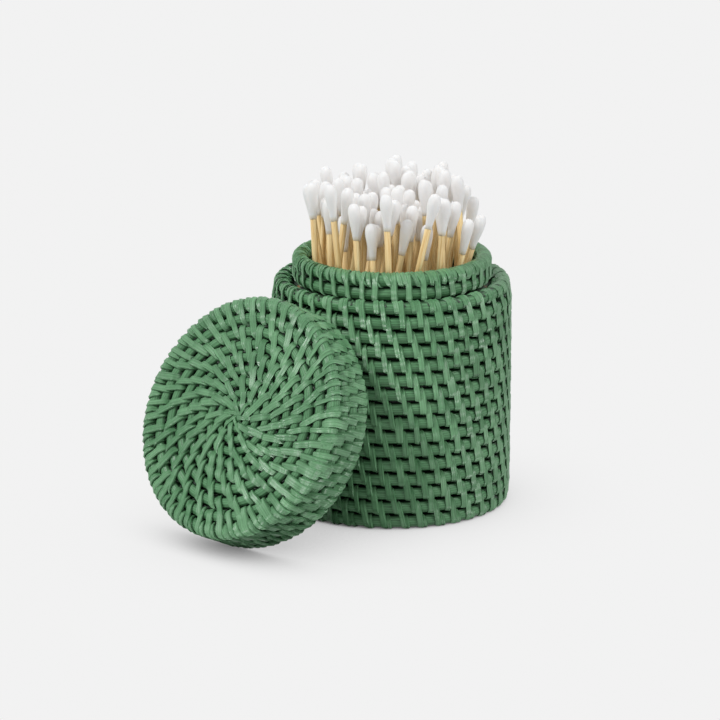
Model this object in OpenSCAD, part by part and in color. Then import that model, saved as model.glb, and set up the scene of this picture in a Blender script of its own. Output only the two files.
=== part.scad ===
// Coiled rattan canister with its lid taken off and leaning on the wall, filled with cotton buds.
// Millimetres, +Z up. The origin is the middle of the canister's flat foot, on the table.

/* [Canister wall] */
// Width of the canister over its stitches
body_d = 95; // [88:1:110]
// Number of coils from the foot to the shoulder
wall_coils = 16; // [13:1:18]
// Rise from one coil of the wall to the next
wall_pitch = 5.65; // [5.2:0.05:6.2]
// Thickness of the coiled wall
wall_t = 5.6; // [4.8:0.1:6]
// How far the foot's lowest coil is tucked in
foot_tuck = 1.8; // [0.5:0.1:2.5]
// How far the shoulder's top coil leans in
shoulder_tuck = 0.8; // [0.3:0.1:1.5]

/* [Weave] */
// Stitches in one round of the wall, the neck and the lid's edge
stitches = 40; // [36:4:40]
// Sideways lean of a wall stitch over one coil, as a share of the stitch spacing
wall_lean = 0.105; // [0:0.005:0.2]
// Sideways lean of a stitch on the lid's face over one coil, as a share of the stitch spacing
face_lean = 0.22; // [0:0.01:0.3]
// Depth of the groove between two coils under the stitches
seam_depth = 1.9; // [1:0.1:2.2]
// Depth of the bare coil's crest under the stitches
coil_depth = 0.8; // [0.4:0.1:1.2]

/* [Base] */
// Thickness of the coiled base
base_t = 5; // [4:0.1:7]
// Gap between the base and the wall that is sewn round it
base_fit = 0.2; // [0.1:0.05:0.4]

/* [Neck collar] */
// Width of the neck over its stitches
neck_d = 79; // [74:0.5:80]
// Height of the neck above the shoulder
neck_h = 10.1; // [9:0.1:12]
// Rise from one coil of the neck to the next
neck_pitch = 5.6; // [5:0.1:6]
// Thickness of the neck's coils
neck_t = 6; // [5.8:0.1:6.2]
// How far the collar's hidden part reaches down inside the wall
collar_reach = 18; // [14:1:26]
// Depth of the open groove between the neck and the shoulder
groove_h = 4.4; // [3:0.1:6]
// Gap between the collar's hidden part and the wall
collar_fit = 0.15; // [0.1:0.05:0.4]

/* [Lid] */
// Width of the lid over its stitches
lid_d = 95; // [88:1:110]
// Rise of one coil of the lid's skirt and face
lid_pitch = 5.65; // [5.2:0.05:5.8]
// Thickness of the lid's coiled wall
lid_t = 5.6; // [4.8:0.1:6]
// How far the lid's open edge is tucked in
lid_tuck = 1.2; // [0.5:0.1:2]
// Lean of the lid's axis above level as it rests on the wall
lid_lean = 25.8; // [20:0.2:30]
// Turn of the lid's face from straight ahead
lid_yaw = 41.2; // [35:0.2:48]
// Place of the lid round the canister from straight ahead
lid_place = 43.2; // [38:0.2:48]
// Gap between the leaning lid and the wall
lid_gap = 0.2; // [0.1:0.05:0.5]
// Gap between the lid's edge and the table
lid_floor_gap = 0.1; // [0.05:0.05:0.3]

/* [Riser] */
// Width of the plain upturned cup that lifts the buds
riser_d = 69.5; // [68:0.5:76]
// Height of the cup
riser_h = 31; // [25:1:34]
// Thickness of the cup's card
riser_t = 2; // [1:0.1:4]

/* [Cotton buds] */
// Number of rows that the buds stand in
bud_rows = 11; // [5:2:11]
// Spacing of the rows at their feet
row_gap = 5.2; // [5.2:0.05:5.4]
// Spacing of the buds in a row at their feet
bud_gap = 5.3; // [5.3:0.1:6]
// Turn of the rows from straight across, so that the right ends come forward
row_turn = 20; // [10:1:30]
// Share by which a row is wider at its tips than at its feet
row_fan = 0.25; // [0.2:0.01:0.3]
// Share by which the rows stand further apart at their tips than at their feet
row_spread = 0.17; // [0.15:0.01:0.17]
// Largest lean of a row along itself
row_lean = 11; // [4:0.5:11]
// Largest wander of a tip along its row
tip_wander = 1; // [0:0.1:1]
// Largest wander of a tip out of its row
tip_drift = 0.35; // [0:0.05:0.35]
// Least gap between the bunch and the neck's inner face
bunch_gap = 0.4; // [0.3:0.1:1]
// Largest lift of a bud that its neighbours hold above the cup
bud_lift = 20; // [0:0.5:20]
// Gap between the lowest bud and the cup
foot_gap = 0.25; // [0.25:0.05:0.5]
// Length of one bud over both heads
bud_len = 76; // [72:1:80]
// Width of a cotton head
head_d = 5; // [4:0.1:5]
// Length of a cotton head
head_len = 14.5; // [11:0.5:17]
// Width of a head where it meets the stick
head_neck_d = 3; // [2.6:0.1:3.4]
// Width of a bamboo stick
stick_d = 2.5; // [2:0.1:2.5]
// Lean of the one stray bud from upright
stray_lean = 17; // [12:0.5:18]
// Lift of the stray bud, which other buds hold
stray_lift = 8.5; // [7:0.5:9]
// Gap between the stray bud and the neck's inner face
stray_gap = 0.3; // [0.2:0.1:0.6]

/* [Hidden] */

green = [0.33, 0.55, 0.37];
dark_green = [0.25, 0.45, 0.3];
card = [0.72, 0.66, 0.55];
bamboo = [0.85, 0.71, 0.45];
cotton = [0.96, 0.95, 0.94];
round_fn = 96;

body_r = body_d / 2;
wall_h = wall_coils * wall_pitch;
wall_in_r = body_r - wall_t;
neck_r = neck_d / 2;
neck_in_r = neck_r - neck_t;
rim_z = wall_h + neck_h;
ledge_z = wall_h - groove_h;
base_r = wall_in_r - base_fit;

// Columns of mesh for one stitch: two carry the stitch over a groove, three over a coil
per_stitch = 4;
columns = stitches * per_stitch;

lid_r = lid_d / 2;
skirt_coils = 3;
lid_h = (skirt_coils + 1) * lid_pitch;
corner_r = lid_pitch / 2;
face_coils = floor(lid_r / lid_pitch);
// Coils of the face, from its edge, at which the number of stitches is halved, and halved again
first_halving = 3;
second_halving = 6;
// How far the lid's open edge reaches along a direction, given as its radial and its axial part
function lid_edge_reach(along_r, along_z) =
    max((lid_r - lid_tuck) * along_r, lid_r * along_r + lid_pitch / 2 * along_z);
lid_out = body_r + lid_gap + lid_edge_reach(sin(lid_lean), -cos(lid_lean));
lid_up = lid_floor_gap + lid_edge_reach(cos(lid_lean), -sin(lid_lean));

golden = 0.618034;
// Where the leans of the rows begin in their sequence
lean_phase = 0.37;
// Share of the lift's spread that is gone at the back of the bunch, where all buds stand high
back_hold = 0.75;
// A row's numbers start this far on from the last row's
numbers_a_row = 16;
foot_z = base_t + riser_h + foot_gap;
head_r = head_d / 2;
bud_inner_r = neck_in_r - stick_d / 2;
neck_mid_z = rim_z - (neck_h + collar_reach) / 2;
rim_share = (rim_z - foot_z) / bud_len;

function frac(x) = x - floor(x);

// A ring of a woven surface: its radius and height at the stitches, the surface's slope (0 upright,
// 90 flat), the depth of each column under the stitches, and the turn of the ring in columns
function woven_ring(r, z, slope, depths, turn) =
    let (n = len(depths))
    [for (m = [0 : n - 1])
        let (a = 360 * (m + turn) / n, q = r - depths[m] * cos(slope), h = z - depths[m] * sin(slope))
        [q * cos(a), q * sin(a), h]];

function plain_ring(r, z, n, turn = 0) =
    [for (m = [0 : n - 1]) let (a = 360 * (m + turn) / n) [r * cos(a), r * sin(a), z]];

// Depths along ring i, counted from a free edge: even rings are grooves, odd rings are crests.
// The pattern moves on by one column with each coil.
function stitch_depths(i, n) =
    let (k = floor((i + 1) / 2), crest = i % 2 == 1)
    [for (m = [0 : n - 1])
        let (place = (m - k + (crest ? 1 : 0) + n) % per_stitch)
        place < (crest ? 3 : 2) ? 0 : (crest ? coil_depth : seam_depth)];

// Triangles between ring a of na points and ring b of nb points, where one count divides the other,
// and ring b is joined to ring a shift points on
function strip(a, na, b, nb, shift = 0) = na >= nb
    ? let (f = na / nb) [for (j = [0 : nb - 1])
        let (p = b + (j + shift) % nb, q = b + (j + shift + 1) % nb)
        each concat([for (s = [0 : f - 1]) [p, a + f * j + s, a + (f * j + s + 1) % na]],
                    [[p, a + (f * (j + 1)) % na, q]])]
    : let (f = nb / na) [for (j = [0 : na - 1])
        each concat([for (s = [0 : f - 1]) [a + j, b + (f * j + s + 1) % nb, b + f * j + s]],
                    [[a + j, a + (j + 1) % na, b + (f * (j + 1)) % nb]])];

function starts(rings) = [for (i = 0, s = 0; i < len(rings); s = s + len(rings[i]), i = i + 1) s];

// A closed skin through a list of rings that runs down the outside and back up the inside, where
// the first ring starts shift points on from the last
module ring_skin(rings, shift = 0) {
    at = starts(rings);
    last = len(rings) - 1;
    polyhedron([for (ring = rings) each ring],
               [for (i = [0 : last]) let (j = (i + 1) % (last + 1))
                   each strip(at[i], len(rings[i]), at[j], len(rings[j]), j == 0 ? shift : 0)], 4);
}

// The wall's radius at ring i, tucked in at the shoulder and at the foot
function wall_ring_r(i) = body_r - (i == 0 ? shoulder_tuck + coil_depth : i == 1 ? shoulder_tuck
    : i == 2 * wall_coils ? foot_tuck : 0);

module canister_wall() {
    turn = wall_coils * wall_lean * per_stitch;
    color(green)
    ring_skin(concat(
        [for (i = [0 : 2 * wall_coils])
            woven_ring(wall_ring_r(i), wall_h - i * wall_pitch / 2, 0,
                       i == 0 || i == 2 * wall_coils ? [for (m = [1 : columns]) 0]
                                                     : stitch_depths(i, columns),
                       i * wall_lean * per_stitch / 2)],
        [plain_ring(wall_in_r, 0, columns, turn),
         plain_ring(wall_in_r, wall_h - coil_depth, columns, turn)]), round(turn));
}

// A flat coiled mat: ridged on top, and flat where it stands
module canister_base() {
    coils = floor(base_r / wall_pitch);
    ridge_steps = 5;
    mat_pitch = base_r / coils;
    ridges = [for (c = [0 : coils - 1], s = [0 : ridge_steps - 1])
        let (f = s / ridge_steps)
        [(c + f) * mat_pitch, base_t - seam_depth * (1 - sqrt(sin(180 * f)))]];
    color(dark_green)
    rotate_extrude($fn = round_fn)
    polygon(concat([[0, 0]], ridges, [[base_r, base_t - seam_depth], [base_r, 0]]));
}

// The neck is a sleeve of coils set into the wall; its lower part is hidden and fits the wall
module neck_collar() {
    coils = 2;
    rows = 2 * coils;
    color(green)
    ring_skin(concat(
        [for (i = [0 : rows])
            woven_ring(neck_r - (i == 0 ? coil_depth : 0), rim_z - i * neck_pitch / 2, 0,
                       i == 0 ? [for (m = [1 : columns]) 0]
                              : i == rows ? [for (m = [1 : columns]) seam_depth]
                                          : [for (m = [0 : columns - 1])
                                              m % per_stitch < 2 ? 0 : (i % 2 == 1 ? coil_depth
                                                                                   : seam_depth)], 0)],
        [plain_ring(neck_r - seam_depth, ledge_z, columns),
         plain_ring(wall_in_r - collar_fit, ledge_z, columns),
         plain_ring(wall_in_r - collar_fit, wall_h - collar_reach, columns),
         plain_ring(neck_in_r, wall_h - collar_reach, columns),
         plain_ring(neck_in_r, rim_z - coil_depth, columns)]));
}

// Mesh columns of a lid ring: all at the edge, then half and a quarter towards the centre
function lid_columns(coil) = columns / (coil < first_halving ? 1 : coil < second_halving ? 2 : 4);

// The lid in its own frame: face up, open edge at z = 0
module lid_upright() {
    skirt_rows = 2 * skirt_coils;
    face = [for (i = [2 * face_coils : -1 : 2])
        let (n = lid_columns(floor((i - 1) / 2)))
        woven_ring(max(lid_r - i * lid_pitch / 2, lid_pitch / 3), lid_h, 90, stitch_depths(i, n),
                   -i * face_lean * n / columns * per_stitch / 2)];
    corner = [for (slope = [80, 45, 10])
        woven_ring(lid_r - corner_r * (1 - cos(slope)), lid_h - corner_r * (1 - sin(slope)), slope,
                   stitch_depths(1, columns), 0)];
    skirt = [for (i = [0 : skirt_rows])
        woven_ring(lid_r - (i == skirt_rows ? lid_tuck : 0),
                   lid_h - lid_pitch - i * lid_pitch / 2, 0,
                   i == skirt_rows ? [for (m = [1 : columns]) 0] : stitch_depths(i, columns),
                   i * wall_lean * per_stitch / 2)];
    cavity_r = lid_r - lid_t;
    inner_n = columns / 4;
    top_z = lid_h - lid_t;
    rings = concat([[[0, 0, lid_h - coil_depth]]], face, corner, skirt,
                   [plain_ring(cavity_r, 0, columns, skirt_coils * wall_lean * per_stitch),
                    plain_ring(cavity_r, top_z, columns),
                    plain_ring(cavity_r / 2, top_z, inner_n), [[0, 0, top_z]]]);
    at = starts(rings);
    last = len(rings) - 1;
    polyhedron([for (ring = rings) each ring],
               [for (i = [0 : last - 1])
                   let (na = len(rings[i]), nb = len(rings[i + 1]))
                   each na == 1 ? [for (j = [0 : nb - 1]) [at[i], at[i + 1] + (j + 1) % nb, at[i + 1] + j]]
                      : nb == 1 ? [for (j = [0 : na - 1]) [at[i + 1], at[i] + j, at[i] + (j + 1) % na]]
                      : strip(at[i], na, at[i + 1], nb)], 4);
}

// The lid stands on its edge and leans on the wall, with its face to the front and up
module lid() {
    color(green)
    rotate([0, 0, -lid_place])
    translate([0, -lid_out, lid_up])
    rotate([0, 0, lid_place - lid_yaw])
    rotate([90 - lid_lean, 0, 0])
    lid_upright();
}

// A plain card cup, mouth down on the base
module bud_riser() {
    color(card)
    translate([0, 0, base_t])
    difference() {
        cylinder(d = riser_d, h = riser_h, $fn = round_fn);
        translate([0, 0, -riser_t])
        cylinder(d = riser_d - 2 * riser_t, h = riser_h, $fn = round_fn);
    }
}

// The buds of one row lean alike, and the rows lean differently, so that they cross and stay clear
function lean_of(r) = row_lean * (2 * frac(r * golden + lean_phase) - 1);
function row_y(r) = (r - (bud_rows - 1) / 2) * row_gap;
function row_half(r) = sqrt(max(0, pow(bud_inner_r, 2) - pow(row_y(r) * (1 + row_spread * rim_share), 2)))
    - (rim_z - neck_mid_z) * abs(tan(lean_of(r))) - bunch_gap;
function row_count(r) = floor(2 * row_half(r) / (bud_gap * (1 + row_fan * rim_share))) + 1;

// From a place along and across the rows to one on the canister
function turned(p) =
    [p[0] * cos(row_turn) + p[1] * sin(row_turn), p[1] * cos(row_turn) - p[0] * sin(row_turn), p[2]];

// Bud j of n in row r, as its foot and tip. Those at the back stand high, and others anywhere between.
function bunch_bud(r, j, n) =
    let (i = numbers_a_row * r + j, u = (j - (n - 1) / 2) * bud_gap,
         level = [u - (neck_mid_z - foot_z) * tan(lean_of(r)), row_y(r), foot_z],
         way = [u * row_fan + bud_len * tan(lean_of(r)) + tip_wander * (2 * frac(3 * i * golden) - 1),
                row_y(r) * row_spread + tip_drift * (2 * frac(7 * i * golden) - 1), bud_len],
         back = min(1, max(0, (1 + turned(level + way * rim_share)[1] / bud_inner_r) / 2)),
         lift = bud_lift * (1 - (1 - back_hold * back) * frac(i * golden * golden)),
         foot = level + way * lift / bud_len)
    [turned(foot), turned(foot + way * bud_len / norm(way))];

// The stray bud stands in the middle row's line, rests on the neck's inner edge and leans out over it
stray_way = [sin(stray_lean), 0, cos(stray_lean)];
stray_foot = [bud_inner_r - stray_gap, 0, rim_z]
    - stray_way * ((rim_z - foot_z) / cos(stray_lean) - stray_lift);
stray_bud = [turned(stray_foot), turned(stray_foot + bud_len * stray_way)];

// A bud's half width at share t of its length
function bud_half(t) = min(t, 1 - t) * bud_len < head_len ? head_r : stick_d / 2;
function bud_point(bud, t) = bud[0] + t * (bud[1] - bud[0]);

// The least air between two buds, tried at steps along both
air_steps = 24;
function air(p, q) = min([for (i = [0 : air_steps], j = [0 : air_steps])
    let (s = i / air_steps, t = j / air_steps)
    norm(bud_point(p, s) - bud_point(q, t)) - bud_half(s) - bud_half(t)]);

stray_room = 0.15;
bunch = [for (r = [0 : bud_rows - 1]) let (n = row_count(r)) for (j = [0 : 1 : n - 1])
    let (bud = bunch_bud(r, j, n)) if (air(bud, stray_bud) > stray_room) bud];
buds = concat(bunch, [stray_bud]);

// Puts a thing that points up the z axis at share t of a bud
module along(bud, t) {
    d = bud[1] - bud[0];
    translate(bud_point(bud, t))
    rotate([0, acos(d[2] / norm(d)), atan2(d[1], d[0])])
    children();
}

// A cotton head, tip up, from its neck at z = 0
module cotton_head() {
    rotate_extrude($fn = round_fn / 4)
    polygon([[0, 0], [head_neck_d / 2, 0], [0.9 * head_r, 0.48 * head_len], [head_r, 0.72 * head_len],
             [0.9 * head_r, 0.88 * head_len], [0.6 * head_r, 0.97 * head_len], [0.3 * head_r, head_len],
             [0, head_len]]);
}

module bud_sticks() {
    color(bamboo)
    for (bud = buds)
    along(bud, head_len / bud_len)
    cylinder(d = stick_d, h = bud_len - 2 * head_len, $fn = round_fn / 4);
}

module bud_heads_upper() {
    color(cotton)
    for (bud = buds)
    along(bud, 1 - head_len / bud_len)
    cotton_head();
}

module bud_heads_lower() {
    color(cotton)
    for (bud = buds)
    along(bud, head_len / bud_len)
    rotate([180, 0, 0])
    cotton_head();
}

canister_wall();
canister_base();
neck_collar();
lid();
bud_riser();
bud_sticks();
bud_heads_upper();
bud_heads_lower();
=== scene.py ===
import math

import bmesh
import bpy
import numpy as np
from mathutils import Matrix, Vector


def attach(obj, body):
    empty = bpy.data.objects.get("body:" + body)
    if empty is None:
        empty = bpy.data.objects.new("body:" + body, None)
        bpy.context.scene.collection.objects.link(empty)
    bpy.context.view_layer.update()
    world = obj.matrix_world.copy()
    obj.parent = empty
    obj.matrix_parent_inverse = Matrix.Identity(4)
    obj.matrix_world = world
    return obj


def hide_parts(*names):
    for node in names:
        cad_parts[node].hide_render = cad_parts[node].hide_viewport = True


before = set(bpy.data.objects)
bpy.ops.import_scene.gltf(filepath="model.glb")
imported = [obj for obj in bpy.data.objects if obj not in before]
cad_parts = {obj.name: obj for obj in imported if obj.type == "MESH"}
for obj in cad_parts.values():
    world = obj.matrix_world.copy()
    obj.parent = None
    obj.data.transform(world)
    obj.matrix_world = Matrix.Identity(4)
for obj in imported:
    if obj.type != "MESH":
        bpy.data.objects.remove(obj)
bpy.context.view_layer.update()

# Canister wall, the coils. A round cane core, about 5 mm thick, is wound up from the foot to the
# shoulder in 16 rounds. It is lacquered green with the splints that sew it. The narrow gaps between
# the rounds are painted almost black, a painted shade, and a dark sheet stands behind them.
mm = 0.001
pitch = 5.65 * mm
wall_rounds = 16
wall_top = 90.4 * mm
body_r = 47.45 * mm
core_out = 2.25 * mm
core_up = 2.45 * mm
splint_t = 1.05 * mm
wrap_r = core_out + splint_t / 2 - 0.15 * mm
shoulder_tuck = 0.8 * mm
foot_tuck = 0.5 * mm
around_core = 16
around_wall = 240


def paint_green(name, streak=1.0, ridge=0.5, shine=0.5):
    """Satin green lacquer brushed over cane: it thins on the raised fibres and varies a little from
    splint to splint. Where the second attribute is 1 the colour goes near black, a painted shade in
    the gaps. Reads the attributes grain and painted shade."""
    material = bpy.data.materials.new(name)
    material.use_nodes = True
    nodes, links = material.node_tree.nodes, material.node_tree.links
    shader = nodes["Principled BSDF"]
    grain = nodes.new("ShaderNodeAttribute")
    grain.attribute_name = "grain"
    gap = nodes.new("ShaderNodeAttribute")
    gap.attribute_name = "gap"
    place = nodes.new("ShaderNodeTexCoord")

    stretch = nodes.new("ShaderNodeMapping")
    stretch.inputs["Scale"].default_value = (3.2, 0.16, 37.0)
    links.new(grain.outputs["Vector"], stretch.inputs["Vector"])
    fibres = nodes.new("ShaderNodeTexNoise")
    fibres.inputs["Scale"].default_value = 1.0
    fibres.inputs["Detail"].default_value = 3.0
    fibres.inputs["Roughness"].default_value = 0.6
    links.new(stretch.outputs["Vector"], fibres.inputs["Vector"])
    combed = nodes.new("ShaderNodeMapping")
    combed.inputs["Scale"].default_value = (1.0, 0.03, 5.0)
    links.new(grain.outputs["Vector"], combed.inputs["Vector"])
    ridges = nodes.new("ShaderNodeTexWave")
    ridges.inputs["Scale"].default_value = 0.29
    ridges.inputs["Distortion"].default_value = 7.0
    ridges.inputs["Detail"].default_value = 2.0
    ridges.inputs["Detail Scale"].default_value = 2.0
    links.new(combed.outputs["Vector"], ridges.inputs["Vector"])
    lines = nodes.new("ShaderNodeMix")
    lines.inputs["Factor"].default_value = ridge
    links.new(fibres.outputs["Fac"], lines.inputs["A"])
    links.new(ridges.outputs["Fac"], lines.inputs["B"])

    drift = nodes.new("ShaderNodeTexNoise")
    drift.inputs["Scale"].default_value = 90.0
    drift.inputs["Detail"].default_value = 4.0
    links.new(place.outputs["Object"], drift.inputs["Vector"])

    parts = nodes.new("ShaderNodeSeparateXYZ")
    links.new(grain.outputs["Vector"], parts.inputs["Vector"])
    body = nodes.new("ShaderNodeMix")
    body.data_type = "RGBA"
    body.inputs["A"].default_value = (0.092, 0.246, 0.112, 1)
    body.inputs["B"].default_value = (0.168, 0.372, 0.188, 1)
    blend = nodes.new("ShaderNodeMath")
    blend.operation = "MULTIPLY_ADD"
    blend.inputs[1].default_value = 0.45
    links.new(parts.outputs["Z"], blend.inputs[0])
    spread = nodes.new("ShaderNodeMapRange")
    spread.inputs["From Min"].default_value = 0.3
    spread.inputs["From Max"].default_value = 0.7
    spread.inputs["To Min"].default_value = -0.05
    spread.inputs["To Max"].default_value = 0.6
    links.new(drift.outputs["Fac"], spread.inputs["Value"])
    links.new(spread.outputs["Result"], blend.inputs[2])
    links.new(blend.outputs["Value"], body.inputs["Factor"])

    thin = nodes.new("ShaderNodeMapRange")
    thin.inputs["From Min"].default_value = 0.25
    thin.inputs["From Max"].default_value = 0.7
    thin.inputs["To Min"].default_value = 1.0 - 0.3 * streak
    thin.inputs["To Max"].default_value = 1.0 + 0.14 * streak
    links.new(lines.outputs["Result"], thin.inputs["Value"])
    streaked = nodes.new("ShaderNodeVectorMath")
    streaked.operation = "SCALE"
    links.new(body.outputs["Result"], streaked.inputs["Vector"])
    links.new(thin.outputs["Result"], streaked.inputs["Scale"])

    # Painted shade: the colour goes near black where the second attribute is 1, in the gaps, at splint ends
    # and under splint edges.
    pooled = nodes.new("ShaderNodeMix")
    pooled.data_type = "RGBA"
    pooled.inputs["B"].default_value = (0.003, 0.012, 0.004, 1)
    links.new(streaked.outputs["Vector"], pooled.inputs["A"])
    links.new(gap.outputs["Fac"], pooled.inputs["Factor"])
    links.new(pooled.outputs["Result"], shader.inputs["Base Color"])

    gloss = nodes.new("ShaderNodeMapRange")
    gloss.inputs["From Min"].default_value = 0.3
    gloss.inputs["From Max"].default_value = 0.7
    gloss.inputs["To Min"].default_value = 0.27
    gloss.inputs["To Max"].default_value = 0.42
    links.new(drift.outputs["Fac"], gloss.inputs["Value"])
    links.new(gloss.outputs["Result"], shader.inputs["Roughness"])
    shader.inputs["Specular IOR Level"].default_value = shine

    raised = nodes.new("ShaderNodeBump")
    raised.inputs["Strength"].default_value = 0.6 * streak
    raised.inputs["Distance"].default_value = 0.25 * mm
    links.new(lines.outputs["Result"], raised.inputs["Height"])
    links.new(raised.outputs["Normal"], shader.inputs["Normal"])
    return material


def ring_sway(seed, size=0.12 * mm):
    """How a hand-wound round strays from a true circle, as a function of angle: out and up."""
    draw = np.random.default_rng(seed)
    phase = draw.uniform(0, 2 * math.pi, 6)

    def stray(angle):
        out = (np.sin(3 * angle + phase[0]) + 0.6 * np.sin(7 * angle + phase[1])
               + 0.4 * np.sin(17 * angle + phase[2]))
        up = (np.sin(2 * angle + phase[3]) + 0.6 * np.sin(6 * angle + phase[4])
              + 0.4 * np.sin(13 * angle + phase[5]))
        return -size * (0.5 + out / 4), size * up / 2
    return stray


corner_normal = math.pi / 4


def wound_coils(name, rounds, turned, steps, shade_sheet):
    """Cores of rounds [(radius, height, half out, half up, seed, outward normal as an angle)], each a
    circle of cane spun once about the axis, and a sheet = [(radius, height)] behind the gaps, painted
    near black as shade."""
    bm = bmesh.new()
    rim = []
    for radius, height, half_out, half_up, seed, normal in rounds:
        seat = Matrix.Translation((radius, 0, height)) @ Matrix.Diagonal((half_out, 1, half_up, 1))
        made = bmesh.ops.create_circle(bm, segments=around_core, radius=1,
                                       matrix=seat @ Matrix.Rotation(math.pi / 2, 4, "X"))
        rim += made["verts"]
    rim += list({e for v in rim for e in v.link_edges})
    bmesh.ops.spin(bm, geom=rim, cent=(0, 0, 0), axis=(0, 0, 1), dvec=(0, 0, 0),
                   angle=2 * math.pi, steps=steps, use_merge=True, use_duplicate=False)
    bmesh.ops.recalc_face_normals(bm, faces=bm.faces)
    mesh = bpy.data.meshes.new(name)
    bm.to_mesh(mesh)
    bm.free()
    count = len(mesh.vertices)
    co = np.zeros(count * 3)
    mesh.vertices.foreach_get("co", co)
    co = co.reshape(-1, 3)
    angle = np.arctan2(co[:, 1], co[:, 0])
    reach = np.hypot(co[:, 0], co[:, 1])
    middles = np.array([[r, z] for r, z, *_ in rounds])
    owner = np.argmin((reach[:, None] - middles[:, 0]) ** 2 + (co[:, 2, None] - middles[:, 1]) ** 2, axis=1)
    grain = np.zeros((count, 3))
    gap = np.zeros(count)
    for i, (radius, height, half_out, half_up, seed, normal) in enumerate(rounds):
        own = owner == i
        x, y = (reach[own] - radius) / half_out, (co[own, 2] - height) / half_up
        tilt = np.arctan2(y, x) - normal
        out, up = ring_sway(seed)(angle[own])
        reach[own] += out
        co[own, 2] += up
        own_shade = np.full(own.sum(), seed % 97 / 97)
        grain[own] = np.stack([tilt * half_out / mm, angle[own] * radius / mm, own_shade], axis=1)
        # Painted shade: the sides of a core that face its neighbours go near black, only a tenth as much on
        # the round corner.
        painted_shade_scale = 0.1 if normal == corner_normal else 1
        gap[own] = np.clip((np.abs(np.sin(tilt)) - 0.72) / 0.24, 0, 1) ** 1.3 * painted_shade_scale
    co[:, 0], co[:, 1] = reach * np.cos(angle), reach * np.sin(angle)
    co[:, 2] = np.maximum(co[:, 2], 0)
    mesh.vertices.foreach_set("co", co.ravel())
    mesh.attributes.new("grain", "FLOAT_VECTOR", "POINT").data.foreach_set("vector", grain.ravel())
    mesh.attributes.new("gap", "FLOAT", "POINT").data.foreach_set("value", gap)

    # Painted shade: a thin sheet behind the gaps, given the shade value 1 all over, so the gaps read near
    # black.
    bm = bmesh.new()
    bm.from_mesh(mesh)
    gap_layer = bm.verts.layers.float["gap"]
    before = set(bm.verts)
    line = [bm.verts.new((r, 0, z)) for r, z in shade_sheet]
    edges = [bm.edges.new(pair) for pair in zip(line, line[1:])]
    bmesh.ops.spin(bm, geom=line + edges, cent=(0, 0, 0), axis=(0, 0, 1), dvec=(0, 0, 0),
                   angle=2 * math.pi, steps=96, use_merge=True, use_duplicate=False)
    sheet = list({f for v in bm.verts if v not in before for f in v.link_faces})
    bmesh.ops.recalc_face_normals(bm, faces=sheet)
    bmesh.ops.solidify(bm, geom=sheet, thickness=0.3 * mm)
    for v in bm.verts:
        if v not in before:
            v[gap_layer] = 1.0
    bm.to_mesh(mesh)
    bm.free()
    mesh.transform(turned)
    mesh.polygons.foreach_set("use_smooth", [True] * len(mesh.polygons))
    return mesh


def put_in_place(name, mesh, material, slot, *nodes):
    """Makes the piece, gives it its finish and hands it to the frame."""
    piece = bpy.data.objects.new(name, mesh)
    bpy.context.scene.collection.objects.link(piece)
    mesh.materials.append(material)
    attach(piece, "root")
    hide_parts(*nodes)
    return piece


green_core = paint_green("green_lacquer_on_cane", ridge=0.45, shine=0.25)
core_mid_r = body_r - splint_t - core_out
wall_mids = []
for k in range(wall_rounds):
    tucked = shoulder_tuck if k == 0 else foot_tuck if k == wall_rounds - 1 else 0
    wall_mids.append((core_mid_r - tucked, wall_top - (k + 0.5) * pitch))
wall_cores = [(r, z, core_out, core_up, 100 + k, 0.0) for k, (r, z) in enumerate(wall_mids)]
upright = Matrix.Identity(4)
wall_shade_sheet_r = core_mid_r - 1.0 * mm
wall_shade_sheet = [(wall_shade_sheet_r, wall_mids[-1][1]), (wall_shade_sheet_r, wall_mids[0][1])]
put_in_place("wall_coils", wound_coils("wall_coils", wall_cores, upright, around_wall, wall_shade_sheet),
             green_core, "lacquered_rattan", "canister_wall")

# Canister wall, the stitches. Splints of split cane, 2.3 mm wide, hold the rounds together: each
# comes out of a gap, runs down over two coils and goes in again. They lean, so that each stitch
# lies against the one of the next row, with a bit of bare coil between the pairs.
stitch_w = 2.3 * mm
stitches = 40
wall_lean = math.radians(8.5)
quarter_step = math.radians(2.25)
row_step = 1.42 * quarter_step
row_start = 0.5 * quarter_step
sunk = 1.3 * mm
splint_shape = [(0.96, -1.0), (1.0, 0.05), (0.56, 1.0), (-0.56, 1.0), (-1.0, 0.05), (-0.96, -1.0)]


def splint_blank(stations):
    """A straight closed bar with six sides, along +Y, with one ring of corners at each station."""
    bm = bmesh.new()
    bmesh.ops.create_circle(bm, cap_ends=True, segments=len(splint_shape), radius=1,
                            matrix=Matrix.Rotation(math.pi / 2, 4, "X"))
    bm.faces.ensure_lookup_table()
    end = bm.faces[0]
    for _ in range(stations - 1):
        grown = bmesh.ops.extrude_face_region(bm, geom=[end])["geom"]
        end = next(g for g in grown if isinstance(g, bmesh.types.BMFace))
        bmesh.ops.translate(bm, verts=list(end.verts), vec=(0, 1, 0))
    mesh = bpy.data.meshes.new("splint_blank")
    bm.to_mesh(mesh)
    bm.free()
    return mesh


def falling(start, end):
    """The same direction as end, but reached from start by turning clockwise."""
    near = 0.01
    return start + near - ((start + near - end) % (2 * math.pi))


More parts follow.
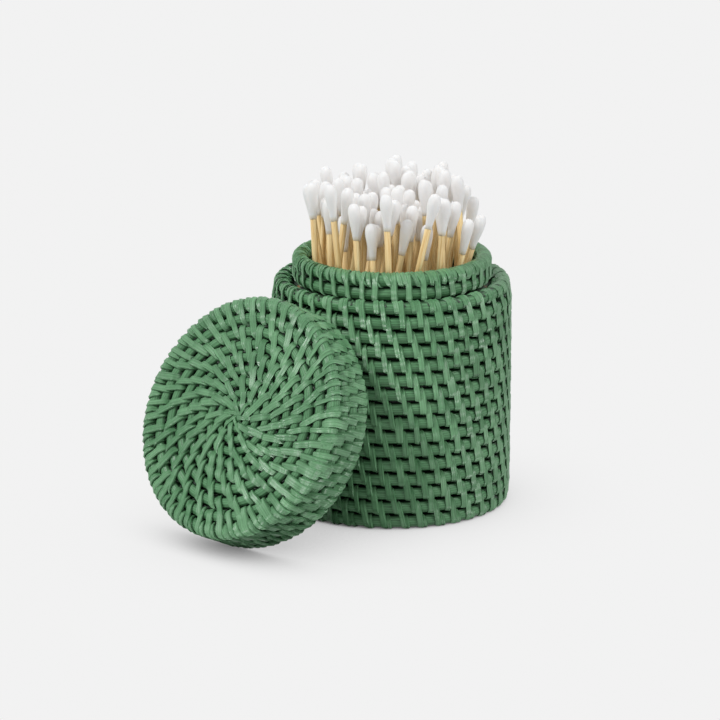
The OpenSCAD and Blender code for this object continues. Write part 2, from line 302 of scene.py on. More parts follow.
def wrap_path(coils, start, end, reach):
    """Stations of splints that go round coils, a list of (count, 2) middles, from direction start to
    direction end, as places and outward directions. They go straight from one coil to the next."""
    directions = [start]
    for a, b in zip(coils, coils[1:]):
        step = np.mean(b - a, axis=0)
        directions.append(falling(directions[-1], math.atan2(step[1], step[0]) + math.pi / 2))
    directions.append(falling(directions[-1], end))
    places, ways = [], []
    for i, coil in enumerate(coils):
        a, b = directions[i], directions[i + 1]
        steps = max(1, round((a - b) / math.radians(30))) + 1
        for s in range(steps):
            way = np.full(len(coil), a + (b - a) * s / (steps - 1))
            places.append(coil + reach[i] * np.stack([np.cos(way), np.sin(way)], axis=1))
            ways.append(way)
        if i + 1 < len(coils):
            over = np.array([math.cos(b), math.sin(b)])
            places.append((places[-1] + coils[i + 1] + reach[i + 1] * over) / 2 - 0.1 * mm * over)
            ways.append(np.full(len(coil), b))
    for at, sign in ((0, -1), (-1, 1)):
        along = np.stack([np.sin(ways[at]), -np.cos(ways[at])], axis=1)
        into = places[at] + sign * sunk * along
        places.insert(0 if at == 0 else len(places), into)
        ways.insert(0 if at == 0 else len(ways), ways[at])
    return np.array(places), np.array(ways)


def lay_splints(rows, seed):
    """One mesh of all the stitches in rows. A row holds its angles, its coils, the directions that
    it starts and ends in, its width, and its lean on a face and on a wall."""
    draw = np.random.default_rng(seed)
    bm = bmesh.new()
    blanks, moved = {}, []
    for row in rows:
        angles = np.asarray(row["angles"], float)
        count = len(angles)
        radius = row["coils"][0][0]
        angles = angles + draw.normal(0, row.get("loose", 0.16) * mm, count) / max(radius, 4 * mm)
        coils = []
        for r, z, stray in row["coils"]:
            out, up = stray(angles)
            coils.append(np.stack([r + out, z + up], axis=1))
        reach = np.broadcast_to(row.get("reach", wrap_r), len(coils))
        places, ways = wrap_path(coils, row["start"], row["end"], reach)
        stations = len(places)
        if stations not in blanks:
            blanks[stations] = splint_blank(stations)
        blank = blanks[stations]
        for _ in range(count):
            bm.from_mesh(blank)
        corner = np.zeros(len(blank.vertices) * 3)
        blank.vertices.foreach_get("co", corner)
        corner = corner.reshape(-1, 3)
        station = np.round(corner[:, 1]).astype(int)
        station -= station.min()
        side = np.round(np.arctan2(corner[:, 2], corner[:, 0]) / (2 * math.pi / 6)).astype(int) % 6
        shape = np.array(splint_shape)[side]

        gone = np.linalg.norm(np.diff(places, axis=0), axis=2)
        along = np.concatenate([np.zeros((1, count)), np.cumsum(gone, axis=0)])
        face = np.abs(np.sin(ways))
        if "all_face" in row:
            face = np.full_like(face, row["all_face"])
        lean = row["lean"] * (1 - face) + row.get("face_lean", row["lean"]) * face
        lean = np.tan(lean + draw.normal(0, row.get("wobble", math.radians(2)), count))
        mid_lean = (lean[1:] + lean[:-1]) / 2
        aside = np.concatenate([np.zeros((1, count)), np.cumsum(mid_lean * gone, axis=0)])
        share = along / along[-1]
        pivot = row.get("pivot", 0.5)
        at_pivot = np.array([np.interp(pivot, share[:, j], aside[:, j]) for j in range(count)])
        bend = draw.normal(0, row.get("bend", 0.15 * mm), count)
        aside = aside - at_pivot + bend * np.cos((share - 0.5) * math.pi)
        width = row.get("width", stitch_w) * (1 + draw.normal(0, 0.1, count)) * row.get("wide", 1.0) / 2
        near_end = np.minimum(np.arange(stations), stations - 1 - np.arange(stations))
        taper = np.interp(near_end, [0, 1, 2, 3], [0.5, row.get("tip", 0.78), 0.95, 1.0])[:, None]
        width = width * taper * (0.93 + 0.14 * share)
        lift = draw.normal(0, 0.04 * mm, count)
        random = draw.uniform(0, 1, count)

        v = shape[:, 0] * width[station].T
        h = shape[:, 1] * taper[station].T * splint_t / 2 + lift[:, None]
        way, lay = ways[station].T, lean[station].T
        r = places[station, :, 0].T + h * np.cos(way) - v * lay / np.sqrt(1 + lay ** 2) * np.sin(way)
        z = places[station, :, 1].T + h * np.sin(way) + v * lay / np.sqrt(1 + lay ** 2) * np.cos(way)
        t = aside[station].T + v / np.sqrt(1 + lay ** 2)
        turn = angles[:, None]
        x, y = r * np.cos(turn) - t * np.sin(turn), r * np.sin(turn) + t * np.cos(turn)
        grain = np.stack([v / mm, along[station].T / mm, np.broadcast_to(random[:, None], v.shape)], axis=2)
        # Painted shade: a splint's ends, where it goes into a gap, and its lower edges against the coil go
        # near black.
        ends = np.minimum(station, stations - 1 - station)
        gap = np.broadcast_to(np.interp(ends, [0, 1, 2, 3], [1.0, 0.6, 0.0, 0.0]), v.shape)
        gap = np.maximum(gap, np.interp(shape[:, 1], [-1, 0, 1], [0.85, 0.0, 0.0]))
        moved.append((np.stack([x, y, z], axis=2).reshape(-1, 3), grain.reshape(-1, 3), gap.reshape(-1)))
    mesh = bpy.data.meshes.new("splints")
    bm.to_mesh(mesh)
    bm.free()
    co, grain, gap = (np.concatenate([m[i] for m in moved]) for i in range(3))
    co[:, 2] = np.maximum(co[:, 2], 0)
    mesh.vertices.foreach_set("co", co.ravel())
    mesh.attributes.new("grain", "FLOAT_VECTOR", "POINT").data.foreach_set("vector", grain.ravel())
    mesh.attributes.new("gap", "FLOAT", "POINT").data.foreach_set("value", gap)
    bm = bmesh.new()
    bm.from_mesh(mesh)
    bmesh.ops.recalc_face_normals(bm, faces=bm.faces)
    bm.to_mesh(mesh)
    bm.free()
    mesh.polygons.foreach_set("use_smooth", [True] * len(mesh.polygons))
    for blank in blanks.values():
        bpy.data.meshes.remove(blank)
    return mesh


above, outward, below, inward = math.pi / 2, 0.0, -math.pi / 2, math.pi
wall_strays = [ring_sway(100 + k) for k in range(wall_rounds)]
green_splint = paint_green("green_lacquer_on_splints", ridge=0.25, shine=0.55)
wall_rows = []
pools = np.random.default_rng(31)
for k in range(wall_rounds + 1):
    at = row_start + row_step * k + np.arange(stitches) * 2 * math.pi / stitches
    right_side = np.clip(np.cos(at - math.radians(-20)) * 1.6 - 0.5, 0, 1)
    over = [(r, z, wall_strays[i]) for i, (r, z) in enumerate(wall_mids) if i in (k - 1, k)]
    wall_rows.append({
        "angles": at, "wide": 1 + right_side * pools.choice([0, 0, 0.15, 0.5], stitches),
        "coils": over, "lean": wall_lean,
        "start": inward if k <= 1 else above,
        "end": inward if k >= wall_rounds - 1 else below,
        "pivot": {1: 0.62, wall_rounds - 1: 0.38}.get(k, 0.5)})
put_in_place("wall_stitches", lay_splints(wall_rows, 11), green_splint, "lacquered_rattan", "canister_wall")

# Neck. A narrower sleeve of the same coils stands inside the wall. Two green rounds show above the
# shoulder, and they are wrapped close together, over the rim to the inside. The rounds below sit in
# the wall, where the lacquer did not reach and the cane is still brown in patches; the rest of them
# is painted near black, a painted shade of the groove.
neck_r = 39.45 * mm
rim_z = 100.45 * mm
neck_pitch = 5.6 * mm
neck_mid_r = neck_r - splint_t - core_out
neck_mids = [(neck_mid_r, rim_z - splint_t - core_up - k * neck_pitch) for k in range(2)]
neck_cores = [(r, z, core_out, core_up + 0.12 * mm, 200 + k, 0.0) for k, (r, z) in enumerate(neck_mids)]
neck_shade_sheet = [(neck_mid_r, neck_mids[0][1]), (neck_mid_r, neck_mids[1][1] - neck_pitch)]
put_in_place("neck_coils", wound_coils("neck_coils", neck_cores, upright, 200, neck_shade_sheet),
             green_core, "lacquered_rattan", "neck_collar")

neck_strays = [ring_sway(200 + k) for k in range(2)]
neck_over = [(r, z, neck_strays[k]) for k, (r, z) in enumerate(neck_mids)]
long_wraps = np.arange(stitches) * 2 * math.pi / stitches
neck_rows = [
    {"angles": long_wraps, "loose": 0.35, "coils": neck_over, "lean": math.radians(5),
     "start": 3 * math.pi / 2, "end": below, "width": 2.3 * mm, "pivot": 0.6, "wobble": math.radians(4)},
    {"angles": long_wraps + 2.05 * mm / neck_r, "coils": neck_over[:1], "lean": math.radians(13),
     "start": 4.3, "end": below, "width": 2.0 * mm, "wobble": math.radians(6), "loose": 0.2},
    {"angles": long_wraps + 4.0 * mm / neck_r, "coils": neck_over[:1], "lean": math.radians(15),
     "start": 4.3, "end": below, "width": 2.0 * mm, "wobble": math.radians(6), "loose": 0.2}]
put_in_place("neck_stitches", lay_splints(neck_rows, 12), green_splint, "lacquered_rattan", "neck_collar")

shoulder = [(neck_r + 0.5 * mm, wall_top - 2.6 * mm, neck_strays[1]), (*wall_mids[0], wall_strays[0])]
tucked_splints = lay_splints([{
    "angles": row_start + (np.arange(56) + 0.4) * 2 * math.pi / 56, "coils": shoulder,
    "reach": [0.5 * mm, wrap_r - 0.4 * mm], "lean": math.radians(24), "start": 2.4, "end": 1.0,
    "width": 1.35 * mm, "wobble": math.radians(9), "loose": 0.8}], 15)
put_in_place("tucked_splints", tucked_splints, green_splint, "lacquered_rattan", "neck_collar")

brown_cane_and_shade = bpy.data.materials.new("brown_cane_and_shade")
brown_cane_and_shade.use_nodes = True
brown_nodes, brown_links = brown_cane_and_shade.node_tree.nodes, brown_cane_and_shade.node_tree.links
brown_place = brown_nodes.new("ShaderNodeTexCoord")
brown_noise = brown_nodes.new("ShaderNodeTexNoise")
brown_noise.inputs["Scale"].default_value = 160.0
brown_noise.inputs["Detail"].default_value = 5.0
brown_and_shade_ramp = brown_nodes.new("ShaderNodeValToRGB")
# Painted shade: below the first stop the cane is near black, the shade in the groove between neck and wall;
# above the second stop it is the cane's own brown.
brown_and_shade_ramp.color_ramp.elements[0].position = 0.58
brown_and_shade_ramp.color_ramp.elements[0].color = (0.008, 0.026, 0.010, 1)
brown_and_shade_ramp.color_ramp.elements[1].position = 0.66
brown_and_shade_ramp.color_ramp.elements[1].color = (0.24, 0.135, 0.055, 1)
brown_links.new(brown_place.outputs["Object"], brown_noise.inputs["Vector"])
brown_links.new(brown_noise.outputs["Fac"], brown_and_shade_ramp.inputs["Fac"])
brown_links.new(brown_and_shade_ramp.outputs["Color"], brown_nodes["Principled BSDF"].inputs["Base Color"])
brown_nodes["Principled BSDF"].inputs["Roughness"].default_value = 0.6
brown_bump = brown_nodes.new("ShaderNodeBump")
brown_bump.inputs["Distance"].default_value = 0.3 * mm
brown_links.new(brown_noise.outputs["Fac"], brown_bump.inputs["Height"])
brown_links.new(brown_bump.outputs["Normal"], brown_nodes["Principled BSDF"].inputs["Normal"])
hidden_in, hidden_out = 33.6 * mm, 41.7 * mm
hidden_half = (hidden_out - hidden_in) / 2
hidden_top = 83.2 * mm
hidden_mids = [(hidden_in + hidden_half, hidden_top - k * neck_pitch) for k in range(2)]
hidden_cores = [(r, z, hidden_half, 2.75 * mm, 210 + k, 0.0) for k, (r, z) in enumerate(hidden_mids)]
hidden_cores.append((neck_mid_r, neck_mids[1][1] - neck_pitch, core_out, core_up, 219, 0.0))
hidden_shade_sheet = [(hidden_mids[0][0], hidden_mids[0][1]), (hidden_mids[0][0], hidden_mids[-1][1])]
put_in_place("collar_coils", wound_coils("collar_coils", hidden_cores, upright, 160, hidden_shade_sheet),
             brown_cane_and_shade, "lacquered_rattan", "neck_collar")

# Canister base. A flat mat of the same coils, sewn inside the lowest round; the photo hides it.
# The rounds lie side by side and the stitches show below, pressed flat where it stands.
base_r = 41.5 * mm
base_mid_z = 2.75 * mm
mat_mids = [(base_r - 2.6 * mm - k * pitch, base_mid_z) for k in range(7)]
mat_cores = [(r, z, 2.45 * mm, 2.1 * mm, 300 + k, -math.pi / 2) for k, (r, z) in enumerate(mat_mids)]
mat_shade_sheet = [(0.5 * mm, base_mid_z), (mat_mids[0][0], base_mid_z)]
put_in_place("base_coils", wound_coils("base_coils", mat_cores, upright, 120, mat_shade_sheet),
             green_core, "lacquered_rattan", "canister_base")
mat_rows = []
for k in range(6):
    pair = [(r, z, ring_sway(300 + i)) for i, (r, z) in enumerate(mat_mids) if i in (k, k + 1)]
    seam_r = (pair[0][0] + pair[1][0]) / 2
    count = max(6, round(2 * math.pi * seam_r / (7.0 * mm)))
    mat_rows.append({"angles": np.arange(count) * 2 * math.pi / count + k, "coils": pair, "reach": 2.4 * mm,
                     "lean": math.radians(15), "start": outward, "end": inward})
put_in_place("base_stitches", lay_splints(mat_rows, 13), green_splint, "lacquered_rattan", "canister_base")

# Lid. One flat spiral of the same cane turns over a round corner into three rounds of skirt, and
# is hollow below. The stitches fan out from the middle, each starting between two of the row
# before, and the inside is sewn as well. It stands on its edge and leans on the wall.
lid_h = 22.55 * mm
lid_mid_r = body_r - splint_t - core_out
lid_top_z = lid_h - splint_t - core_up
face_rounds = 8
skirt_rounds = 3
face_pitches = np.linspace(5.5 * mm, 4.35 * mm, face_rounds)
face_mids = (lid_mid_r - np.cumsum(face_pitches))[::-1]
lid_seats = [(1.3 * mm, lid_top_z + 0.5 * mm)]
lid_seats += [(float(r), lid_top_z) for r in face_mids]
lid_seats.append((lid_mid_r - 0.2 * mm, lid_top_z - 0.2 * mm))
skirt_step = (lid_top_z - 3.05 * mm) / skirt_rounds
lid_seats += [(lid_mid_r, lid_top_z - j * skirt_step) for j in range(1, skirt_rounds + 1)]
corner_round = face_rounds + 1
lid_normals = [math.pi / 2] * corner_round + [corner_normal] + [0.0] * skirt_rounds
lid_place, lid_yaw, lid_lean = 43.2, 41.2, 25.8
lid_off, lid_up = 67.85 * mm, 41.78 * mm
lid_in_place = (Matrix.Rotation(math.radians(-lid_place), 4, "Z") @ Matrix.Translation((0, -lid_off, lid_up))
                @ Matrix.Rotation(math.radians(lid_place - lid_yaw), 4, "Z")
                @ Matrix.Rotation(math.radians(90 - lid_lean), 4, "X"))
lid_cores = []
for k, (r, z) in enumerate(lid_seats):
    if k == 0:
        half_out = half_up = 1.3 * mm
    elif k < corner_round:
        half_out, half_up = face_pitches[face_rounds - k] / 2 - 0.5 * mm, core_out
    elif k == corner_round:
        half_out = half_up = 2.5 * mm
    else:
        half_out, half_up = core_out, core_up
    lid_cores.append((r, z, half_out, half_up, 400 + k, lid_normals[k]))
lid_shade_sheet = [(0.4 * mm, lid_top_z), (lid_mid_r, lid_top_z), (lid_mid_r, lid_seats[-1][1])]
put_in_place("lid_coils", wound_coils("lid_coils", lid_cores, lid_in_place, around_wall, lid_shade_sheet),
             green_core, "lacquered_rattan", "lid")

lid_strays = [ring_sway(400 + k) for k in range(len(lid_seats))]
lid_over = [(r, z, lid_strays[k]) for k, (r, z) in enumerate(lid_seats)]
lid_rows = []
sewn = np.random.default_rng(32)
widest_step = 9.5 * mm
pooled_toward, narrowed_toward = math.radians(-34), math.radians(38)
count, turn = 6, 0.4
for k in range(1, len(lid_over) + 1):
    pair = lid_over[k - 1:k + 1]
    seam_r = sum(p[0] for p in pair) / len(pair)
    if 2 * math.pi * seam_r / count > widest_step:
        count *= 2
    turn += math.pi / count
    half_step = math.pi * seam_r / count
    angles = turn + (np.arange(count) + sewn.uniform(-0.05, 0.05, count)) * 2 * math.pi / count
    start = inward if k - 1 <= corner_round else above
    end = outward if k < corner_round else below
    if k >= len(lid_over) - 1:
        end = -math.pi * 1.4
    at_corner = k in (corner_round, corner_round + 1)
    pooled = np.clip(np.cos(angles - pooled_toward) * 3 - 1.9, 0, 1) * at_corner
    narrowed = 0.4 * np.clip(np.cos(angles - narrowed_toward) * 4 - 3, 0, 1) * at_corner
    face_lean = np.clip(math.atan2(half_step, 10 * mm), math.radians(12), math.radians(23))
    lid_rows.append({"angles": angles, "coils": pair, "lean": math.radians(5), "face_lean": face_lean,
                     "start": start, "end": end, "width": min(2.8 * mm, 1.02 * half_step),
                     "tip": 0.92, "bend": 0.1 * mm,
                     "wide": 1 + pooled * sewn.choice([0.0, 0.5, 1.2], len(angles)) - narrowed,
                     "wobble": math.radians(3.5), "loose": 0.2,
                     "reach": [{0: 1.6 * mm, corner_round: wrap_r + 0.25 * mm}.get(i, wrap_r)
                               for i in range(k - 1, min(k + 1, len(lid_over)))]})
    if k <= corner_round:
        lid_rows[-1]["all_face"] = 1.0 if k < corner_round else 0.6
inside_rows = []
for k in range(1, len(lid_over) - 1):
    pair = lid_over[k:k + 2][::-1]
    seam_r = (pair[0][0] + pair[1][0]) / 2
    count = max(7, round(2 * math.pi * seam_r / (7.5 * mm)))
    start = below if k >= corner_round - 1 else outward
    end = above if k > corner_round else inward
    inside_rows.append({"angles": 0.3 + k * 0.09 + np.arange(count) * 2 * math.pi / count, "coils": pair,
                        "lean": math.radians(8), "start": start, "end": end})
lid_stitches = lay_splints(lid_rows + inside_rows, 14)
lid_stitches.transform(lid_in_place)
put_in_place("lid_stitches", lid_stitches, green_splint, "lacquered_rattan", "lid")

# Cotton buds. About eighty turned bamboo sticks, 2.5 mm thick, each with a wound cotton head on
# both ends, stand in the canister as a loose bunch, and one leans out over the neck at the right.
bud_len = 76 * mm
head_len = 14.5 * mm
stick_r = 1.25 * mm


def bud_ends():
    """Foot and tip of each bud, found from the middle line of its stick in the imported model."""
    bm = bmesh.new()
    bm.from_mesh(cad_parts["bud_sticks"].data)
    bmesh.ops.remove_doubles(bm, verts=bm.verts, dist=0.001 * mm)
    left, found = set(bm.verts), []
    while left:
        group, edge = set(), [left.pop()]
        while edge:
            v = edge.pop()
            group.add(v)
            edge += [w for e in v.link_edges for w in e.verts if w in left and w is not v]
            left -= set(edge)
        points = np.array([v.co for v in group])
        middle = (points.max(axis=0) + points.min(axis=0)) / 2
        low, high = (points[points[:, 2] < middle[2]], points[points[:, 2] > middle[2]])
        low, high = ((half.max(axis=0) + half.min(axis=0)) / 2 for half in (low, high))
        way = (high - low) / np.linalg.norm(high - low)
        found.append((middle - way * bud_len / 2, middle + way * bud_len / 2))
    bm.free()
    return sorted(found, key=lambda ends: tuple(np.round(ends[0], 5)))


def turned_piece(profile, steps):
    """A closed shape from profile = [(radius, height)], spun about +Z."""
    bm = bmesh.new()
    line = [bm.verts.new((r, 0, z)) for r, z in profile]
    edges = [bm.edges.new(pair) for pair in zip(line, line[1:])]
    bmesh.ops.spin(bm, geom=line + edges, cent=(0, 0, 0), axis=(0, 0, 1), dvec=(0, 0, 0),
                   angle=2 * math.pi, steps=steps, use_merge=True, use_duplicate=False)
    bmesh.ops.remove_doubles(bm, verts=bm.verts, dist=0.01 * mm)
    bmesh.ops.recalc_face_normals(bm, faces=bm.faces)
    mesh = bpy.data.meshes.new("turned")
    bm.to_mesh(mesh)
    bm.free()
    return mesh


def set_along(blank, ends, seed, uneven=0.0):
    """Copies of blank, with its +Z along each pair of ends and its foot at the first of them."""
    draw = np.random.default_rng(seed)
    bm = bmesh.new()
    for _ in ends:
        bm.from_mesh(blank)
    mesh = bpy.data.meshes.new("set_along")
    bm.to_mesh(mesh)
    bm.free()
    own = np.zeros(len(blank.vertices) * 3)
    blank.vertices.foreach_get("co", own)
    own = own.reshape(-1, 3)
    co, grain = [], []
    for foot, tip in ends:
        turn = Vector(tip - foot).to_track_quat("Z", "Y").to_matrix()
        spin = Matrix.Rotation(draw.uniform(0, 2 * math.pi), 3, "Z")
        shaped = own.copy()
        angle = np.arctan2(own[:, 1], own[:, 0])
        swell = 1 + uneven * (np.sin(2 * angle + draw.uniform(0, 6)) * 0.5 + draw.uniform(-1, 0.2)
                              + 0.5 * np.sin(own[:, 2] / mm * 0.5 + draw.uniform(0, 6)))
        shaped[:, :2] *= swell[:, None]
        co.append(shaped @ np.array(turn @ spin).T + foot)
        own_shade = np.full(len(own), draw.uniform(0, 1))
        grain.append(np.stack([angle * stick_r / mm, own[:, 2] / mm, own_shade], axis=1))
    mesh.vertices.foreach_set("co", np.concatenate(co).ravel())
    grain_data = mesh.attributes.new("grain", "FLOAT_VECTOR", "POINT").data
    grain_data.foreach_set("vector", np.concatenate(grain).ravel())
    mesh.polygons.foreach_set("use_smooth", [True] * len(mesh.polygons))
    return mesh


def cotton():
    """White wound cotton: matt, soft, with faint winding and fuzz."""
    material = bpy.data.materials.new("wound_cotton")
    material.use_nodes = True
    nodes, links = material.node_tree.nodes, material.node_tree.links
    shader = nodes["Principled BSDF"]
    grain = nodes.new("ShaderNodeAttribute")
    grain.attribute_name = "grain"
    place = nodes.new("ShaderNodeTexCoord")
    fuzz = nodes.new("ShaderNodeTexNoise")
    fuzz.inputs["Scale"].default_value = 900.0
    fuzz.inputs["Detail"].default_value = 6.0
    links.new(place.outputs["Object"], fuzz.inputs["Vector"])
    wound = nodes.new("ShaderNodeMapping")
    wound.inputs["Scale"].default_value = (0.25, 2.2, 11.0)
    links.new(grain.outputs["Vector"], wound.inputs["Vector"])
    turns = nodes.new("ShaderNodeTexNoise")
    turns.inputs["Scale"].default_value = 1.0
    turns.inputs["Detail"].default_value = 2.0
    links.new(wound.outputs["Vector"], turns.inputs["Vector"])
    tint = nodes.new("ShaderNodeMix")
    tint.data_type = "RGBA"
    tint.inputs["A"].default_value = (0.89, 0.865, 0.85, 1)
    tint.inputs["B"].default_value = (0.925, 0.91, 0.90, 1)
    links.new(turns.outputs["Fac"], tint.inputs["Factor"])
    height = nodes.new("ShaderNodeSeparateXYZ")
    links.new(grain.outputs["Vector"], height.inputs["Vector"])
    from_foot = nodes.new("ShaderNodeMath")
    from_foot.operation = "SUBTRACT"
    from_foot.inputs[1].default_value = bud_len / mm / 2
    links.new(height.outputs["Y"], from_foot.inputs[0])
    from_middle = nodes.new("ShaderNodeMath")
    from_middle.operation = "ABSOLUTE"
    links.new(from_foot.outputs["Value"], from_middle.inputs[0])
    worn = nodes.new("ShaderNodeMapRange")
    worn.inputs["From Min"].default_value = (bud_len / 2 - head_len) / mm
    worn.inputs["From Max"].default_value = (bud_len / 2 - head_len) / mm + 2.2
    links.new(from_middle.outputs["Value"], worn.inputs["Value"])
    thinned = nodes.new("ShaderNodeMix")
    thinned.data_type = "RGBA"
    thinned.inputs["A"].default_value = (0.78, 0.60, 0.36, 1)
    links.new(worn.outputs["Result"], thinned.inputs["Factor"])
    links.new(tint.outputs["Result"], thinned.inputs["B"])
    links.new(thinned.outputs["Result"], shader.inputs["Base Color"])
    shader.inputs["Roughness"].default_value = 0.95
    shader.inputs["Specular IOR Level"].default_value = 0.2
    shader.inputs["Subsurface Weight"].default_value = 1.0
    shader.inputs["Subsurface Radius"].default_value = (1.0, 0.93, 0.88)
    shader.inputs["Subsurface Scale"].default_value = 10 * mm
    shader.inputs["Sheen Weight"].default_value = 0.25
    shader.inputs["Sheen Roughness"].default_value = 0.6
    soft = nodes.new("ShaderNodeBump")
    soft.inputs["Strength"].default_value = 0.5
    soft.inputs["Distance"].default_value = 0.15 * mm
    links.new(fuzz.outputs["Fac"], soft.inputs["Height"])
    links.new(soft.outputs["Normal"], shader.inputs["Normal"])
    return material


def bamboo():
    """Bare turned bamboo: pale yellow-brown with long dark fibres, and no two sticks quite alike. Where
    other sticks crowd close it is painted dark brown, a painted shade.
    """
    material = bpy.data.materials.new("bare_bamboo")
    material.use_nodes = True
    nodes, links = material.node_tree.nodes, material.node_tree.links
    shader = nodes["Principled BSDF"]
    grain = nodes.new("ShaderNodeAttribute")
    grain.attribute_name = "grain"
    stretch = nodes.new("ShaderNodeMapping")
    stretch.inputs["Scale"].default_value = (2.4, 0.05, 29.0)
    links.new(grain.outputs["Vector"], stretch.inputs["Vector"])
    fibres = nodes.new("ShaderNodeTexNoise")
    fibres.inputs["Scale"].default_value = 1.0
    fibres.inputs["Detail"].default_value = 4.0
    links.new(stretch.outputs["Vector"], fibres.inputs["Vector"])
    ramp = nodes.new("ShaderNodeValToRGB")
    ramp.color_ramp.elements[0].position = 0.3
    ramp.color_ramp.elements[0].color = (0.66, 0.40, 0.12, 1)
    ramp.color_ramp.elements[1].position = 0.7
    ramp.color_ramp.elements[1].color = (1.0, 0.84, 0.48, 1)
    links.new(fibres.outputs["Fac"], ramp.inputs["Fac"])
    # Painted shade: an occlusion test within 7 mm darkens the colour towards dark brown between the sticks.
    between = nodes.new("ShaderNodeAmbientOcclusion")
    between.samples = 8
    between.inputs["Distance"].default_value = 7 * mm
    painted_shade_ramp = nodes.new("ShaderNodeValToRGB")
    painted_shade_ramp.color_ramp.elements[0].position = 0.15
    painted_shade_ramp.color_ramp.elements[0].color = (0.22, 0.12, 0.03, 1)
    painted_shade_ramp.color_ramp.elements[1].position = 0.6
    painted_shade_ramp.color_ramp.elements[1].color = (1, 1, 1, 1)
    links.new(between.outputs["AO"], painted_shade_ramp.inputs["Fac"])
    shaded = nodes.new("ShaderNodeMix")
    shaded.data_type = "RGBA"
    shaded.blend_type = "MULTIPLY"
    shaded.inputs["Factor"].default_value = 1.0
    links.new(ramp.outputs["Color"], shaded.inputs["A"])
    links.new(painted_shade_ramp.outputs["Color"], shaded.inputs["B"])
    links.new(shaded.outputs["Result"], shader.inputs["Base Color"])
    shader.inputs["Roughness"].default_value = 0.55
    raised = nodes.new("ShaderNodeBump")
    raised.inputs["Strength"].default_value = 0.3
    raised.inputs["Distance"].default_value = 0.1 * mm
    links.new(fibres.outputs["Fac"], raised.inputs["Height"])
    links.new(raised.outputs["Normal"], shader.inputs["Normal"])
    return material


buds = bud_ends()
stick_blank = turned_piece([(0, head_len * 0.8), (stick_r, head_len * 0.8), (stick_r, bud_len / 2),
                            (stick_r, bud_len - head_len * 0.8), (0, bud_len - head_len * 0.8)], 12)
put_in_place("bud_sticks_turned", set_along(stick_blank, buds, 21), bamboo(), "bamboo", "bud_sticks")
head_outline = [(1.24, 0.0), (1.36, 0.5), (1.5, 2.2), (1.78, 4.6), (2.12, 7.0), (2.4, 9.0), (2.5, 10.6),
                (2.38, 12.2), (2.0, 13.4), (1.35, 14.1), (0.65, 14.42), (0, 14.5)]
head_profile = [(r * mm, bud_len - head_len + z * mm) for r, z in head_outline]
white = cotton()
upper_blank = turned_piece(head_profile, 14)
put_in_place("bud_heads_top", set_along(upper_blank, buds, 22, uneven=0.05),
             white, "cotton", "bud_heads_upper")
lower_blank = turned_piece([(r, bud_len - z) for r, z in head_profile], 10)
put_in_place("bud_heads_foot", set_along(lower_blank, buds, 23, uneven=0.05),
             white, "cotton", "bud_heads_lower")

# Riser. A plain card cup stands mouth down on the base and lifts the buds above the rim. The photo
# does not show it, and neither does any view from outside, so the CAD shape stays.
card = bpy.data.materials.new("plain_card")
card.use_nodes = True
card_nodes, card_links = card.node_tree.nodes, card.node_tree.links
card_noise = card_nodes.new("ShaderNodeTexNoise")
card_place = card_nodes.new("ShaderNodeTexCoord")
card_ramp = card_nodes.new("ShaderNodeValToRGB")
card_noise.inputs["Scale"].default_value = 400.0
card_ramp.color_ramp.elements[0].color = (0.36, 0.28, 0.19, 1)
card_ramp.color_ramp.elements[1].color = (0.52, 0.43, 0.31, 1)
card_links.new(card_place.outputs["Object"], card_noise.inputs["Vector"])
card_links.new(card_noise.outputs["Fac"], card_ramp.inputs["Fac"])
card_links.new(card_ramp.outputs["Color"], card_nodes["Principled BSDF"].inputs["Base Color"])
card_nodes["Principled BSDF"].inputs["Roughness"].default_value = 0.9
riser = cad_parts["bud_riser"]
riser.data.materials.clear()
riser.data.materials.append(card)

# Floor. One plain pale sheet, wide enough to fill every view. To the camera and in reflections it
# has the backdrop's colour, darkened where the object shuts it in: a painted soft shadow in its glow,
# not one cast by the lamps.
backdrop = 0.887


def seen_or_mirrored(nodes, links):
    """1 for camera, glossy and transmission rays, and 0 for the rays that carry light."""
    path = nodes.new("ShaderNodeLightPath")
    first = nodes.new("ShaderNodeMath")
    first.operation = "ADD"
    links.new(path.outputs["Is Camera Ray"], first.inputs[0])
    links.new(path.outputs["Is Glossy Ray"], first.inputs[1])
    total = nodes.new("ShaderNodeMath")
    total.operation = "ADD"
    total.use_clamp = True
    links.new(first.outputs["Value"], total.inputs[0])
    links.new(path.outputs["Is Transmission Ray"], total.inputs[1])
    return total.outputs["Value"]


bm = bmesh.new()
bmesh.ops.create_grid(bm, x_segments=4, y_segments=4, size=6.0)
floor_mesh = bpy.data.meshes.new("floor")
bm.to_mesh(floor_mesh)
bm.free()
floor = bpy.data.objects.new("floor", floor_mesh)
bpy.context.scene.collection.objects.link(floor)
pale = bpy.data.materials.new("pale_floor")
pale.use_nodes = True
floor_nodes, floor_links = pale.node_tree.nodes, pale.node_tree.links
floor_nodes["Principled BSDF"].inputs["Base Color"].default_value = (0.6, 0.6, 0.6, 1)
floor_nodes["Principled BSDF"].inputs["Roughness"].default_value = 1.0
floor_nodes["Principled BSDF"].inputs["Specular IOR Level"].default_value = 0.0
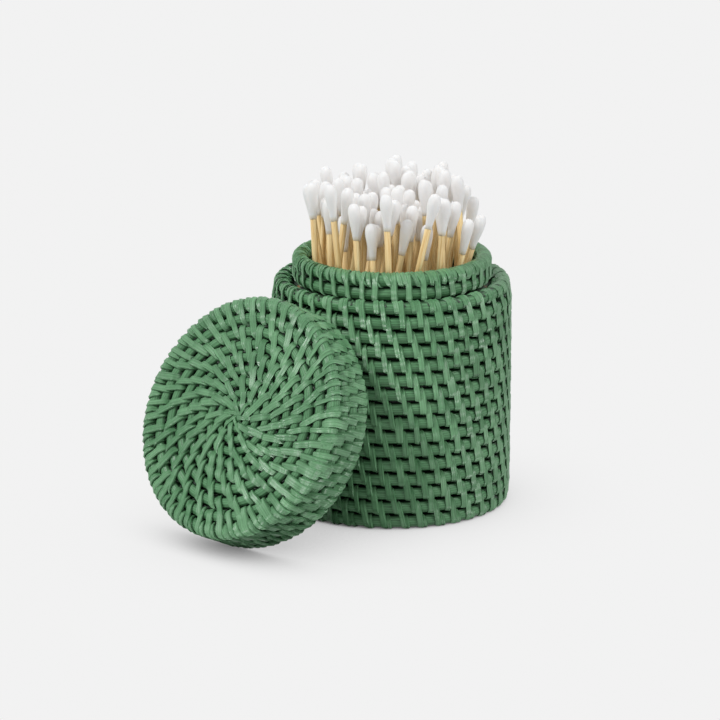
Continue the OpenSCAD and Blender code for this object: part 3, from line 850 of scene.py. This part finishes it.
# Painted shadow: an occlusion test near the object darkens the floor's glow from the backdrop colour towards
# near black.
shut_in = floor_nodes.new("ShaderNodeAmbientOcclusion")
shut_in.samples = 16
shut_in.inputs["Distance"].default_value = 0.075
lost = floor_nodes.new("ShaderNodeMath")
lost.operation = "SUBTRACT"
lost.inputs[0].default_value = 1.0
floor_links.new(shut_in.outputs["AO"], lost.inputs[1])
deepened = floor_nodes.new("ShaderNodeMath")
deepened.operation = "POWER"
deepened.inputs[1].default_value = 2.3
floor_links.new(lost.outputs["Value"], deepened.inputs[0])
painted_shadow = floor_nodes.new("ShaderNodeMapRange")
painted_shadow.inputs["To Min"].default_value = backdrop
painted_shadow.inputs["To Max"].default_value = 0.05
floor_links.new(deepened.outputs["Value"], painted_shadow.inputs["Value"])
floor_glow = floor_nodes.new("ShaderNodeEmission")
floor_links.new(painted_shadow.outputs["Result"], floor_glow.inputs["Color"])
floor_choice = floor_nodes.new("ShaderNodeMixShader")
floor_links.new(seen_or_mirrored(floor_nodes, floor_links), floor_choice.inputs["Fac"])
floor_links.new(floor_nodes["Principled BSDF"].outputs["BSDF"], floor_choice.inputs[1])
floor_links.new(floor_glow.outputs["Emission"], floor_choice.inputs[2])
floor_links.new(floor_choice.outputs["Shader"], floor_nodes["Material Output"].inputs["Surface"])
floor_mesh.materials.append(pale)

# Light. A soft white surround with two wide lamps, above left and above right, as in a small studio.
surround = 0.47
world = bpy.data.worlds.new("soft_surround")
world.use_nodes = True
bpy.context.scene.world = world
sky_nodes, sky_links = world.node_tree.nodes, world.node_tree.links
lighting = sky_nodes["Background"]
lighting.inputs["Color"].default_value = (1, 1, 1, 1)
lighting.inputs["Strength"].default_value = surround
looked_at = sky_nodes.new("ShaderNodeBackground")
looked_at.inputs["Color"].default_value = (backdrop, backdrop, backdrop, 1)
looked_at.inputs["Strength"].default_value = 1.0
choice = sky_nodes.new("ShaderNodeMixShader")
sky_links.new(seen_or_mirrored(sky_nodes, sky_links), choice.inputs["Fac"])
sky_links.new(lighting.outputs["Background"], choice.inputs[1])
sky_links.new(looked_at.outputs["Background"], choice.inputs[2])
sky_links.new(choice.outputs["Shader"], sky_nodes["World Output"].inputs["Surface"])

lamp_spread = 14
for lamp_name, strength, azimuth, height in (("lamp_left", 1.6, 205, 50), ("lamp_right", 0.95, -18, 42)):
    lamp = bpy.data.lights.new(lamp_name, "SUN")
    lamp.energy = strength
    lamp.angle = math.radians(lamp_spread)
    holder = bpy.data.objects.new(lamp_name, lamp)
    bpy.context.scene.collection.objects.link(holder)
    az, el = math.radians(azimuth), math.radians(height)
    toward = Vector((math.cos(az) * math.cos(el), math.sin(az) * math.cos(el), math.sin(el)))
    holder.rotation_euler = toward.to_track_quat("Z", "Y").to_euler()

# Camera. It stands 1.25 m in front of the canister and 0.4 m up, with a long lens, and looks down
# by 15 degrees. The lens is the one that fits the photo's outline, as a focal length in pixels.
focal_px, photo_px = 3289.46, 720
camera = bpy.data.objects.new("camera", bpy.data.cameras.new("camera"))
bpy.context.scene.collection.objects.link(camera)
camera.location = (-12.5 * mm, -1254.5 * mm, 396.6 * mm)
camera.rotation_euler = (math.radians(90 - 15.21), 0, 0)
camera.data.sensor_width = 36.0
camera.data.lens = camera.data.sensor_width * focal_px / photo_px
camera.data.clip_end = 50.0
bpy.context.scene.camera = camera
bpy.context.scene.view_settings.view_transform = "Standard"
